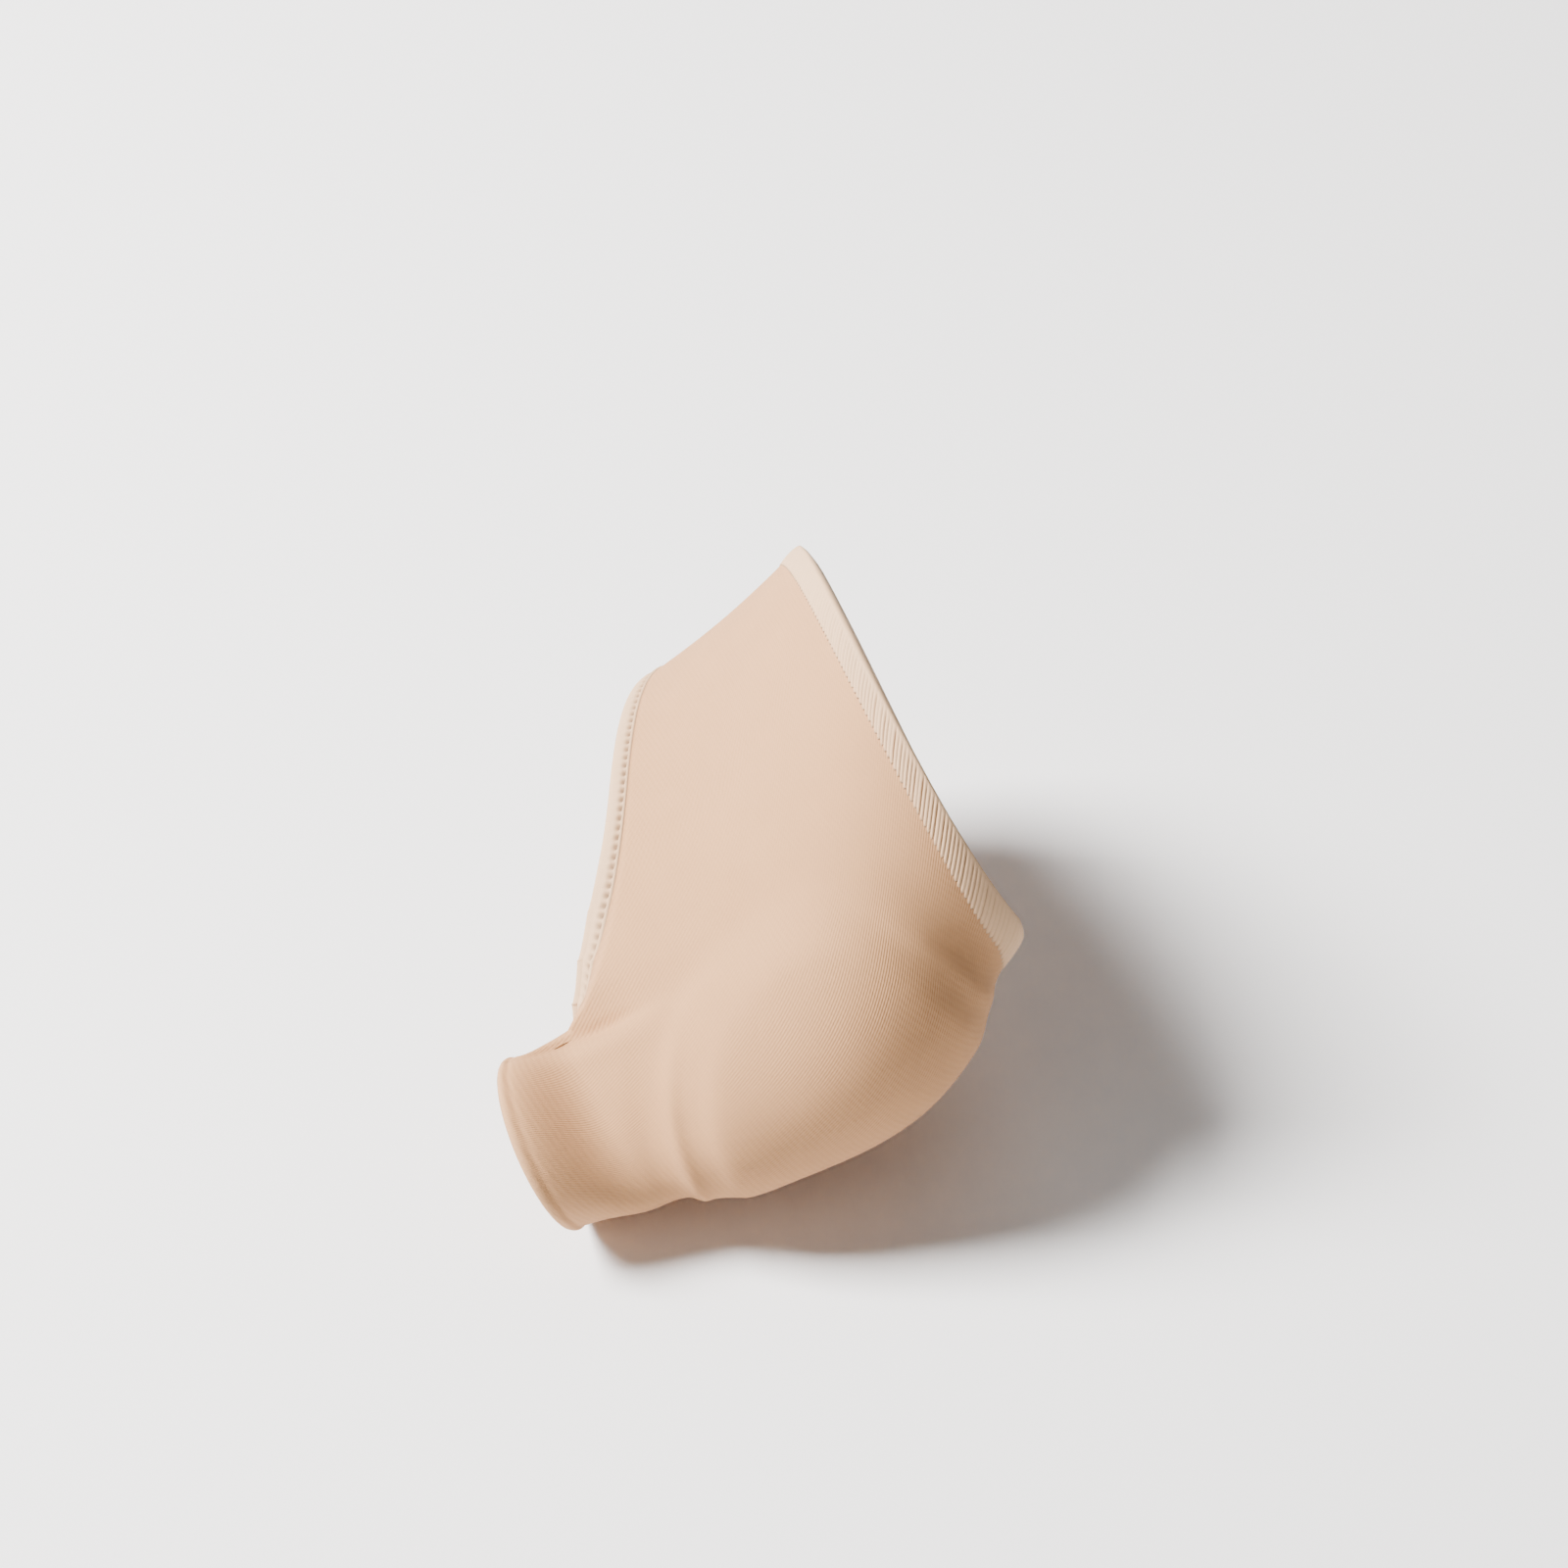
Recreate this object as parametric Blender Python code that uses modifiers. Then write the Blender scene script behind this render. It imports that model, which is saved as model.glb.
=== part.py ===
"""Bunion protector: a knitted forefoot sleeve with a big-toe loop and a gel cushion.

All sizes are in metres.  +X runs from the toes towards the heel, +Y towards the outer side of the
foot and +Z up.  The origin is the middle of the hollow at the ball of the foot.
"""
import bpy
import bmesh
import numpy as np

# Driving sizes
BALL_WIDTH = 0.091            # outside width across the ball of the foot
BALL_HEIGHT = 0.038           # outside height over the big-toe joint
SLEEVE_LENGTH = 0.0655        # from the fork of the toes to the rear edge, on the inner side
WALL_THICKNESS = 0.0013       # knitted wall
CLEARANCE = 0.0004            # gap between a hem and the wall it finishes
REAR_HEM_WIDTH = 0.0043
REAR_HEM_THICKNESS = 0.0019
TOE_HEM_WIDTH = 0.0033
TOE_HEM_THICKNESS = 0.0018
HEM_RISE = 0.0003             # how far a hem stands proud of the wall
HEM_ROUNDING = 0.0004
FORK_LIP = 0.0008             # wall left in front of the fork, for the toe hem to meet
TOE_LOOP_WIDTH = 0.0264
TOE_LOOP_HEIGHT = 0.0242
TOE_LOOP_REACH = 0.0106       # from the root of the toe tube to the edge of the loop
PAD_LENGTH = 0.0455           # gel cushion, along the foot
PAD_THICKNESS = 0.0044
PAD_RIM_THICKNESS = 0.0010
PAD_CLEARANCE = 0.0007        # gap between the cushion and the wall over it
PAD_SWELL = 0.0026            # how far the cushion lifts the wall
CREASE_DEPTH = 0.0014         # valley behind the fork of the toes, on top
SOLE_CREASE_DEPTH = 0.0004

# Places on the sleeve: shares of the sleeve's length from the fork, and angles round a section
ORIGIN_SHARE = 0.60
FORK_TOP_ANGLE = 110.0
FORK_SOLE_ANGLE = 250.0
FORK_SHARE = 0.035
FRONT_SWEEP = 0.620           # how far back the four-toe edge runs towards the outer side
FRONT_POWER = 0.62
REAR_LEAN = 0.107
REAR_PEAK = 0.100
PAD_SHARE = 0.485
PAD_ANGLE = 179.0
PAD_HALF_ANGLE = 59.0
PAD_SQUARENESS = 2.6
SWELL_EDGE = 1.12             # where the lift ends, as a share of the cushion's outline
SWELL_FADE = 0.34
CREASE_ANGLE = 7.0
CREASE_FADE = 0.20
TOE_TURN = 12.8               # the big toe leans to the outer side
TOE_DIP = 26.5                # and points down
TOE_SPAN = 118.0              # half the turn of the loop that comes from the inner side
TOE_SHIFT = (-0.03, 0.215)     # loop centre off the root's centre: to the side and up
FORK_SPREAD = 0.70            # how far the lip at the fork turns away from the big toe
TUBE_SPREAD = 0.15            # and how far the toe tube turns away from the lip
FORK_BOW = 0.03

# Section squareness: across, over the top and under the sole
ACROSS = 2.3
OVER = 2.1
UNDER = 2.4

# Mesh fineness
INNER_STEPS = 20
OUTER_STEPS = 28
FORK_STEPS = 7
BODY_ROWS = 20
TOE_ROWS = 6
HEM_ROWS = 2
PAD_TURNS = 32
PAD_RINGS = 12

# Sections of the last.  Lengths are shares: along of SLEEVE_LENGTH, side and half of BALL_WIDTH,
# the four heights of BALL_HEIGHT.  Pitch is in degrees.
SECTION_COLUMNS = ("along", "pitch", "side", "half", "top_inner", "top_outer", "sole_inner", "sole_outer")
SECTIONS = (
    (-0.30, 20, 0.005, 0.410, 0.265, 0.375, 0.185, 0.240),
    (0.00, 21, 0.005, 0.445, 0.335, 0.430, 0.220, 0.265),
    (0.30, 23, 0.006, 0.493, 0.460, 0.505, 0.290, 0.290),
    (0.60, 31, 0.000, 0.500, 0.600, 0.540, 0.390, 0.320),
    (0.90, 41, 0.025, 0.443, 0.730, 0.600, 0.305, 0.360),
    (1.20, 49, 0.045, 0.385, 0.840, 0.650, 0.260, 0.430),
    (1.50, 54, 0.065, 0.340, 0.930, 0.700, 0.230, 0.490),
)

# Colours (linear red, green, blue), roughness
KNIT_LOOK = ((0.80, 0.61, 0.46), 0.85)
HEM_LOOK = ((0.84, 0.68, 0.54), 0.88)
GEL_LOOK = ((0.86, 0.78, 0.66), 0.35)


def smooth(share):
    """Slow-fast-slow step from 0 to 1."""
    share = np.clip(share, 0.0, 1.0)
    return share * share * (3.0 - 2.0 * share)


def unit(vectors):
    return vectors / np.linalg.norm(vectors, axis=-1, keepdims=True)


def column(name):
    return np.array(SECTIONS, float)[:, SECTION_COLUMNS.index(name)]


def through(values, at):
    """Smooth curve through a table column, read at shares of the sleeve's length."""
    knots = column("along")
    at = np.clip(np.asarray(at, float), knots[0], knots[-1])
    slopes = np.gradient(values, knots)
    left = np.clip(np.searchsorted(knots, at, side="right") - 1, 0, len(knots) - 2)
    step = knots[left + 1] - knots[left]
    t = (at - knots[left]) / step
    start = (2 * t**3 - 3 * t**2 + 1) * values[left] + (t**3 - 2 * t**2 + t) * step * slopes[left]
    end = (3 * t**2 - 2 * t**3) * values[left + 1] + (t**3 - t**2) * step * slopes[left + 1]
    return start + end


def spine(share):
    """Line under the bones of the foot, from the running sum of the pitch."""
    fine = np.linspace(SECTIONS[0][0], SECTIONS[-1][0], 301)
    pitch = np.radians(through(column("pitch"), fine))
    step = np.diff(fine) * SLEEVE_LENGTH
    forward = np.concatenate(((0.0,), np.cumsum(0.5 * (np.cos(pitch[1:]) + np.cos(pitch[:-1])) * step)))
    rise = np.concatenate(((0.0,), np.cumsum(0.5 * (np.sin(pitch[1:]) + np.sin(pitch[:-1])) * step)))
    forward -= np.interp(ORIGIN_SHARE, fine, forward)
    rise -= np.interp(ORIGIN_SHARE, fine, rise)
    return np.interp(share, fine, forward), np.interp(share, fine, rise)


def bulge(value, squareness):
    return np.sign(value) * np.abs(value) ** (2.0 / squareness)


def last(angle, share):
    """Skin of the foot form: a squared oval section stood across the spine."""
    angle = np.radians(angle)
    pitch = np.radians(through(column("pitch"), share))
    across = bulge(np.cos(angle), ACROSS)
    blend = (across + 1.0) / 2.0
    top = through(column("top_inner"), share) * (1 - blend) + through(column("top_outer"), share) * blend
    sole = through(column("sole_inner"), share) * (1 - blend) + through(column("sole_outer"), share) * blend
    over = top * np.abs(np.sin(angle)) ** (2.0 / OVER)
    under = -sole * np.abs(np.sin(angle)) ** (2.0 / UNDER)
    height = np.where(np.sin(angle) > 0, over, under) * BALL_HEIGHT
    forward, rise = spine(share)
    aside = (through(column("side"), share) + across * through(column("half"), share)) * BALL_WIDTH
    return np.stack((forward - np.sin(pitch) * height, aside, rise + np.cos(pitch) * height), -1)


def outward(angle, share):
    """Outward direction of the last's skin."""
    round_it = last(angle + 0.3, share) - last(angle - 0.3, share)
    along_it = last(angle, share + 0.005) - last(angle, share - 0.005)
    return unit(np.cross(round_it, along_it))


def pad_radius(angle, share):
    """0 at the middle of the cushion and 1 on its outline."""
    p = (share - PAD_SHARE) * SLEEVE_LENGTH / (PAD_LENGTH / 2.0)
    q = (np.mod(angle, 360.0) - PAD_ANGLE) / PAD_HALF_ANGLE
    return (np.abs(p) ** PAD_SQUARENESS + np.abs(q) ** PAD_SQUARENESS) ** (1.0 / PAD_SQUARENESS)


def lift(angle, share):
    """How far the wall stands off the last: up over the cushion, down in the valley at the fork."""
    up = PAD_SWELL * smooth((SWELL_EDGE - pad_radius(angle, share)) / SWELL_FADE)
    turn = np.mod(angle, 360.0)
    top = CREASE_DEPTH * np.exp(-((turn - FORK_TOP_ANGLE) / CREASE_ANGLE) ** 2)
    sole = SOLE_CREASE_DEPTH * np.exp(-((turn - FORK_SOLE_ANGLE) / CREASE_ANGLE) ** 2)
    behind = (share - FORK_SHARE) / CREASE_FADE
    return up - (top + sole) * np.exp(-behind**2)


def skin(angle, share, depth=0.0):
    """Outside of the sleeve, or the surface a given depth below it."""
    angle, share = np.broadcast_arrays(np.asarray(angle, float), np.asarray(share, float))
    return last(angle, share) + outward(angle, share) * (lift(angle, share) - depth)[..., None]


def front_edge(angle):
    """Share of the length at which the sleeve starts, at an angle round the section."""
    across = bulge(np.cos(np.radians(angle)), ACROSS)
    fork = bulge(np.cos(np.radians(FORK_TOP_ANGLE)), ACROSS)
    return FORK_SHARE + FRONT_SWEEP * np.clip((across - fork) / (1.0 - fork), 0.0, 1.0) ** FRONT_POWER


def rear_edge(angle):
    rise = np.sin(np.radians(angle))
    return 1.0 + REAR_LEAN * rise + REAR_PEAK * np.maximum(rise, 0.0) ** 2


def inner_angles():
    return np.linspace(FORK_TOP_ANGLE, FORK_SOLE_ANGLE, INNER_STEPS + 1)


def outer_angles():
    return np.linspace(FORK_SOLE_ANGLE, FORK_TOP_ANGLE + 360.0, OUTER_STEPS + 1)


def ring_angles():
    """Angles once round: the inner side from the top of the fork, then the outer side."""
    return np.concatenate((inner_angles()[:-1], outer_angles()[:-1]))


def toe_frame():
    """Direction the toe tube points, its sideways direction and its up direction."""
    turn = np.radians(TOE_TURN)
    dip = np.radians(TOE_DIP)
    ahead = np.array((-np.cos(turn) * np.cos(dip), np.sin(turn) * np.cos(dip), -np.sin(dip)))
    side = np.array((np.sin(turn), np.cos(turn), 0.0))
    return ahead, side, np.cross(side, ahead)


def fork_line():
    """Line of the fork between the toes, from the sole up to the top."""
    ends = skin(np.array((FORK_SOLE_ANGLE, FORK_TOP_ANGLE)), FORK_SHARE)
    share = np.linspace(0.0, 1.0, FORK_STEPS + 1)[:, None]
    line = ends[0] * (1.0 - share) + ends[1] * share
    line[:, 0] += FORK_BOW * SLEEVE_LENGTH * (4.0 * share * (1.0 - share))[:, 0]
    return line


def toe_rows():
    """Rows of the toe tube, from its root on the sleeve to the edge of the loop."""
    ahead, side, up = toe_frame()
    angles = inner_angles()
    root = np.concatenate((skin(angles, FORK_SHARE), fork_line()[1:-1]))
    leave = unit(skin(angles, FORK_SHARE - 0.01) - skin(angles, FORK_SHARE + 0.01))
    leave = np.concatenate((leave, np.tile(unit(ahead - side * TUBE_SPREAD), (FORK_STEPS - 1, 1))))
    inner = np.linspace(180.0 - TOE_SPAN, 180.0 + TOE_SPAN, INNER_STEPS + 1)
    outer = np.linspace(180.0 + TOE_SPAN, 540.0 - TOE_SPAN, FORK_STEPS + 1)[1:-1]
    turn = np.radians(np.concatenate((inner, outer)))[:, None]
    centre = root.mean(axis=0) + ahead * TOE_LOOP_REACH
    centre = centre + side * TOE_SHIFT[0] * TOE_LOOP_WIDTH + up * TOE_SHIFT[1] * TOE_LOOP_HEIGHT
    loop = centre + np.cos(turn) * side * TOE_LOOP_WIDTH / 2.0
    loop = loop + np.sin(turn) * up * TOE_LOOP_HEIGHT / 2.0
    reach = np.linalg.norm(loop - root, axis=1, keepdims=True)
    v = np.linspace(0.0, 1.0, TOE_ROWS + 1)[:, None, None]
    start = (2 * v**3 - 3 * v**2 + 1) * root + (v**3 - 2 * v**2 + v) * reach * leave
    end = (3 * v**2 - 2 * v**3) * loop + (v**3 - v**2) * reach * ahead
    return start + end


def relax(row, weight, distance):
    """Round the corners of a closed row, more so further from the edge."""
    for _ in range(4):
        middle = 0.5 * (np.roll(row, 1, axis=0) + np.roll(row, -1, axis=0))
        row = row + (middle - row) * weight * min(1.0, distance / TOE_HEM_WIDTH)
    return row


def four_toe_rows(ahead_by):
    """Rows in front of the four-toe edge, each a given distance ahead of it."""
    ahead, side, up = toe_frame()
    angles = outer_angles()
    edge = front_edge(angles)
    arc = skin(angles, edge)
    leave = unit(skin(angles, edge - 0.01) - skin(angles, edge + 0.01))
    line = fork_line()[::-1][1:-1]
    root = np.concatenate((arc, line))
    lip = np.tile(unit(ahead + side * FORK_SPREAD), (FORK_STEPS - 1, 1))
    leave = np.concatenate((leave, lip))
    count = len(leave)
    place = np.arange(count)
    near_top = np.abs(place - OUTER_STEPS)
    near_sole = np.minimum(place, count - place)
    weight = np.clip(1.0 - np.minimum(near_top, near_sole) / 3.0, 0.0, 1.0)[:, None] * 0.6
    leave = unit(leave * (1.0 - weight) + lip[0] * weight)
    return np.stack([relax(root + leave * distance, weight, distance) for distance in ahead_by])


def remove_everything():
    for thing in list(bpy.data.objects):
        bpy.data.objects.remove(thing, do_unlink=True)
    for collection in list(bpy.data.collections):
        bpy.data.collections.remove(collection)


def make_material(name, look):
    material = bpy.data.materials.new(name)
    material.use_nodes = True
    shader = material.node_tree.nodes["Principled BSDF"]
    shader.inputs["Base Color"].default_value = (*look[0], 1.0)
    shader.inputs["Roughness"].default_value = look[1]
    shader.inputs["Metallic"].default_value = 0.0
    material.diffuse_color = (*look[0], 1.0)
    return material


def make_object(name, verts, faces, look, collection):
    mesh = bpy.data.meshes.new(name)
    mesh.from_pydata([tuple(point) for point in verts], [], faces)
    mesh.update()
    for polygon in mesh.polygons:
        polygon.use_smooth = True
    thing = bpy.data.objects.new(name, mesh)
    mesh.materials.append(make_material(name + "_look", look))
    collection.objects.link(thing)
    return thing


def thicken(thing, thickness, rise):
    """Give an open surface its thickness, a little of it outside the surface."""
    solid = thing.modifiers.new("thickness", "SOLIDIFY")
    solid.thickness = thickness
    solid.offset = 2.0 * rise / thickness - 1.0
    solid.use_even_offset = False


def round_edges(thing, width):
    bevel = thing.modifiers.new("rounded edges", "BEVEL")
    bevel.width = width
    bevel.segments = 2
    bevel.limit_method = "ANGLE"
    bevel.angle_limit = np.radians(50.0)


def strip_faces(lower, upper):
    """Faces between two closed rows of vertex numbers."""
    count = len(lower)
    return [(lower[i], lower[(i + 1) % count], upper[(i + 1) % count], upper[i]) for i in range(count)]


def make_sleeve_shell(collection):
    """The knitted wall: sleeve body, toe tube and the lip in front of the fork, in one surface."""
    angles = ring_angles()
    start = front_edge(angles)
    end = rear_edge(angles) - (REAR_HEM_WIDTH + CLEARANCE) / SLEEVE_LENGTH
    verts = []
    rows = []
    for share in np.linspace(0.0, 1.0, BODY_ROWS + 1):
        rows.append(list(range(len(verts), len(verts) + len(angles))))
        verts.extend(skin(angles, start * (1.0 - share) + end * share))
    faces = []
    for lower, upper in zip(rows[:-1], rows[1:]):
        faces.extend(strip_faces(lower, upper))
    fork = list(range(len(verts), len(verts) + FORK_STEPS - 1))
    verts.extend(fork_line()[1:-1])
    toe_ring = rows[0][:INNER_STEPS + 1] + fork
    lower = toe_ring
    for row in toe_rows()[1:]:
        upper = list(range(len(verts), len(verts) + len(row)))
        verts.extend(row)
        faces.extend(strip_faces(upper, lower))
        lower = upper
    four_ring = rows[0][INNER_STEPS:] + rows[0][:1] + fork[::-1]
    lip = list(range(len(verts), len(verts) + len(four_ring)))
    verts.extend(four_toe_rows((FORK_LIP,))[0])
    faces.extend(strip_faces(lip, four_ring))
    shell = make_object("sleeve_shell", verts, faces, KNIT_LOOK, collection)
    thicken(shell, WALL_THICKNESS, 0.0)
    return shell


def make_rear_hem(collection):
    """Turned and stitched band round the rear edge."""
    angles = ring_angles()
    end = rear_edge(angles)
    start = end - REAR_HEM_WIDTH / SLEEVE_LENGTH
    verts = []
    faces = []
    lower = None
    for share in np.linspace(0.0, 1.0, HEM_ROWS + 1):
        upper = list(range(len(verts), len(verts) + len(angles)))
        verts.extend(skin(angles, start * (1.0 - share) + end * share))
        if lower is not None:
            faces.extend(strip_faces(lower, upper))
        lower = upper
    hem = make_object("rear_hem", verts, faces, HEM_LOOK, collection)
    thicken(hem, REAR_HEM_THICKNESS, HEM_RISE)
    round_edges(hem, HEM_ROUNDING)
    return hem


def make_toe_hem(collection):
    """Narrow band round the opening for the four smaller toes."""
    start = FORK_LIP + CLEARANCE
    distances = np.linspace(start, start + TOE_HEM_WIDTH, HEM_ROWS + 1)
    verts = []
    faces = []
    lower = None
    for row in four_toe_rows(distances):
        upper = list(range(len(verts), len(verts) + len(row)))
        verts.extend(row)
        if lower is not None:
            faces.extend(strip_faces(upper, lower))
        lower = upper
    hem = make_object("toe_hem", verts, faces, HEM_LOOK, collection)
    thicken(hem, TOE_HEM_THICKNESS, HEM_RISE)
    round_edges(hem, HEM_ROUNDING)
    return hem


def make_gel_pad(collection):
    """Oval cushion under the wall over the bunion: a ball flattened onto the inside of the wall."""
    ball = bmesh.new()
    bmesh.ops.create_uvsphere(ball, u_segments=PAD_TURNS, v_segments=PAD_RINGS, radius=1.0)
    points = np.array([tuple(vert.co) for vert in ball.verts])
    turn = np.arctan2(points[:, 1], points[:, 0])
    radius = 2.0 * np.arccos(np.clip(np.abs(points[:, 2]), 0.0, 1.0)) / np.pi
    share = PAD_SHARE + radius * bulge(np.cos(turn), PAD_SQUARENESS) * PAD_LENGTH / 2.0 / SLEEVE_LENGTH
    angle = PAD_ANGLE - radius * bulge(np.sin(turn), PAD_SQUARENESS) * PAD_HALF_ANGLE
    thickness = PAD_RIM_THICKNESS + (PAD_THICKNESS - PAD_RIM_THICKNESS) * smooth(1.0 - radius**2)
    down = np.where(points[:, 2] > 0.001, 0.0, np.where(points[:, 2] < -0.001, 1.0, 0.5))
    depth = WALL_THICKNESS + PAD_CLEARANCE + down * thickness
    for vert, place in zip(ball.verts, skin(angle, share, depth)):
        vert.co = place
    mesh = bpy.data.meshes.new("gel_pad")
    ball.to_mesh(mesh)
    ball.free()
    for polygon in mesh.polygons:
        polygon.use_smooth = True
    pad = bpy.data.objects.new("gel_pad", mesh)
    mesh.materials.append(make_material("gel_pad_look", GEL_LOOK))
    collection.objects.link(pad)
    return pad


def build():
    remove_everything()
    collection = bpy.data.collections.new("bunion_protector")
    bpy.context.scene.collection.children.link(collection)
    make_sleeve_shell(collection)
    make_rear_hem(collection)
    make_toe_hem(collection)
    make_gel_pad(collection)


build()
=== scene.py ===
"""Bunion protector: the finished knitted sleeve, its hems and its gel cushion, on a plain floor.

Every surface is worked out from the named sizes below as a function of two numbers: an angle round
the foot and a share of the sleeve's length.  Sizes are in metres.
"""

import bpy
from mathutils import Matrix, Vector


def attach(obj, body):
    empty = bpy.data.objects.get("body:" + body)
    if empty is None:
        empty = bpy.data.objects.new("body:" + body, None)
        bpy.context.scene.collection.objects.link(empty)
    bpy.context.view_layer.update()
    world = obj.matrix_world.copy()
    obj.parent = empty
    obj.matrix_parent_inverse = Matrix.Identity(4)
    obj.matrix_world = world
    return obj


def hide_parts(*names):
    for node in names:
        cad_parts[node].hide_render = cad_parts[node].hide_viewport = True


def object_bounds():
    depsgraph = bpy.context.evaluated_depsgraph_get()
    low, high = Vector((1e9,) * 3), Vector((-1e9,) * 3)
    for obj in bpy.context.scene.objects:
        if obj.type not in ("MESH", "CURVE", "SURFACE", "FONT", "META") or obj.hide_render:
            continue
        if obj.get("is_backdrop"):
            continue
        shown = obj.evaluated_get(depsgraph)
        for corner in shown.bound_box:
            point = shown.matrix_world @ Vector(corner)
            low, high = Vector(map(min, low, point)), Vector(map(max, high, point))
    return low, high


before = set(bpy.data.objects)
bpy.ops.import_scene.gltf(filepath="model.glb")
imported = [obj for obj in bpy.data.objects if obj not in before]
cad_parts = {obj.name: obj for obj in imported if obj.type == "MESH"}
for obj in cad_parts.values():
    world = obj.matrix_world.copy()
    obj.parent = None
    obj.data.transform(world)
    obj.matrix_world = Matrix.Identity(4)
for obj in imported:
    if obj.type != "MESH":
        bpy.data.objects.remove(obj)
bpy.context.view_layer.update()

import math

import bpy
import numpy as np
from bpy.props import FloatProperty, FloatVectorProperty, IntProperty, PointerProperty
from mathutils import Vector

bl_info = {
    "name": "Bunion protector",
    "version": (1, 0, 0),
    "blender": (4, 5, 0),
    "location": "3D View > Sidebar > Bunion protector",
    "description": "Builds a knitted forefoot sleeve with a big-toe loop, hems and a gel cushion",
    "category": "Object",
}

COLLECTION = "bunion_protector_look"

# Sections of the last.  Shares: along of the sleeve's length, side and half of the ball's width, the
# four heights of the ball's height.  Pitch is in degrees.
SECTION_COLUMNS = ("along", "pitch", "side", "half", "top_inner", "top_outer", "sole_inner", "sole_outer")
SECTIONS = (
    (-0.30, 20, 0.005, 0.410, 0.265, 0.375, 0.185, 0.240),
    (0.00, 21, 0.005, 0.445, 0.335, 0.430, 0.220, 0.265),
    (0.30, 23, 0.006, 0.493, 0.460, 0.505, 0.290, 0.290),
    (0.60, 31, 0.000, 0.500, 0.600, 0.540, 0.390, 0.320),
    (0.90, 41, 0.025, 0.443, 0.730, 0.600, 0.305, 0.360),
    (1.20, 49, 0.045, 0.385, 0.840, 0.650, 0.260, 0.430),
    (1.50, 54, 0.065, 0.340, 0.930, 0.700, 0.230, 0.490),
)

# Places: shares of the sleeve's length from the fork of the toes, and angles round a section
ORIGIN_SHARE = 0.60
FORK_TOP = 110.0
FORK_SOLE = 250.0
FORK_SHARE = 0.035
FRONT_SWEEP = 0.620
FRONT_POWER = 0.62
REAR_LEAN = 0.107
REAR_PEAK = 0.100
PAD_SHARE = 0.485
PAD_ANGLE = 179.0
PAD_HALF_ANGLE = 59.0
PAD_SQUARENESS = 2.6
SWELL_EDGE = 1.12
SWELL_FADE = 0.34
TOE_TURN = 12.8
TOE_DIP = 26.5
TOE_SPAN = 118.0
TOE_SHIFT = (-0.03, 0.215)
FORK_SPREAD = 0.70
TUBE_SPREAD = 0.15
FORK_BOW = 0.03
# Squareness of a section: across the foot, over the top and under the sole
ACROSS = 2.3
OVER = 2.1
UNDER = 2.4

# Rims of the swell: each hump's height, its place as a share of the cushion's radius, and its width
FRONT_RIM = ((0.00105, 1.03, 0.055), (-0.00060, 0.86, 0.08), (-0.00050, 1.20, 0.09))
REAR_RIM = ((0.00075, 1.03, 0.07), (-0.00018, 0.86, 0.08), (-0.00050, 1.24, 0.10))

# Depths of the folds at the fork
SHARP_DEPTH = 0.0012
SHARP_LIP = 0.0003
SOLE_FOLD = 0.0004

# How far a hem laps over the knit's edge, and how far the lip at the fork stands out
LAP = 0.0003
LIP = 0.0010

# The cushion's gap to the knit and the thickness of its rim
PAD_GAP = 0.0007
PAD_RIM = 0.0010

# Slant of the rear threads: how far one shifts round while it crosses the hem
THREAD_SLANT = -0.0021

# The ease of the four-toe opening's corners is set on this many steps round the sleeve and the fork
CORNER_OUTER = 28
CORNER_FORK = 7

# Knit pattern: radius that turns an angle into a width, and the fork's own stretch of it
PATTERN_RADIUS = 0.036
PATTERN_FORK = (0.045, 0.062)


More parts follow.
